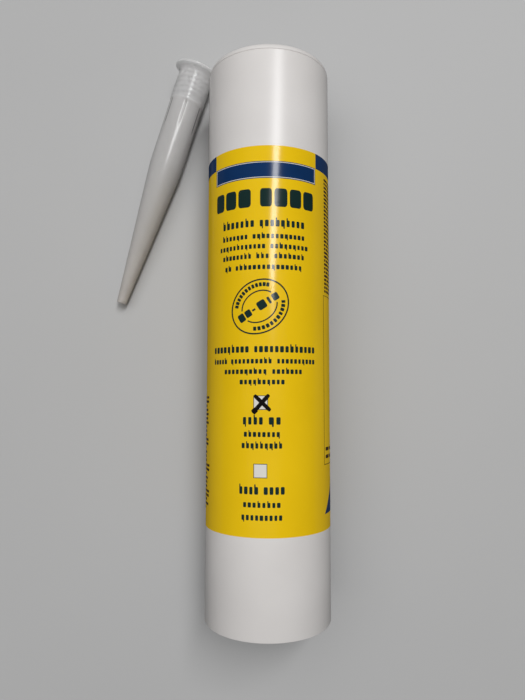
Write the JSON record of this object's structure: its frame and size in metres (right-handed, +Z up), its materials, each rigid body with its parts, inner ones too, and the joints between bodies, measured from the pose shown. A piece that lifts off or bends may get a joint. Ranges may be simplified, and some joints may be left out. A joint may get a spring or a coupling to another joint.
{
  "type": "caulk tube",
  "caption": "Plastic cartridge for adhesive or sealant with a sliding piston, a closed threaded spout and a yellow label, lying beside its tapered nozzle, which has been taken off.",
  "frame": {"origin": "on the surface the set lies on, below the middle of the box around barrel and nozzle together", "axes": "+Z up; +Y along the barrel, from the open rear end to the head with the spout; the nozzle lies on the -X side; the front of the label faces +Z"},
  "size_m": [0.0922, 0.2357, 0.0496],
  "materials": {
    "barrel_plastic": "satin moulded polyethylene, warm white",
    "piston_plastic": "satin moulded polyethylene, white",
    "adhesive_paste": "soft off-white paste",
    "label_yellow": "glossy printed film, warm yellow",
    "ink_blue": "glossy printed film, navy blue",
    "ink_dark": "glossy printed film, dark blue-black",
    "ink_white": "glossy printed film, white",
    "nozzle_plastic": "translucent natural polyethylene, satin"
  },
  "bodies": {
    "tube": {"barrel": "barrel_plastic", "adhesive": "adhesive_paste", "label_film": "label_yellow", "label_blue": "ink_blue", "label_print": "ink_dark", "label_white": "ink_white", "nozzle": "nozzle_plastic"},
    "piston": {"piston": "piston_plastic"}
  },
  "joints": [
    {"name": "piston_slide", "type": "slide", "parent": "tube", "child": "piston", "axis": [0, 1, 0], "range_m": [0, 0.1846], "deforming": ["adhesive"]}
  ]
}
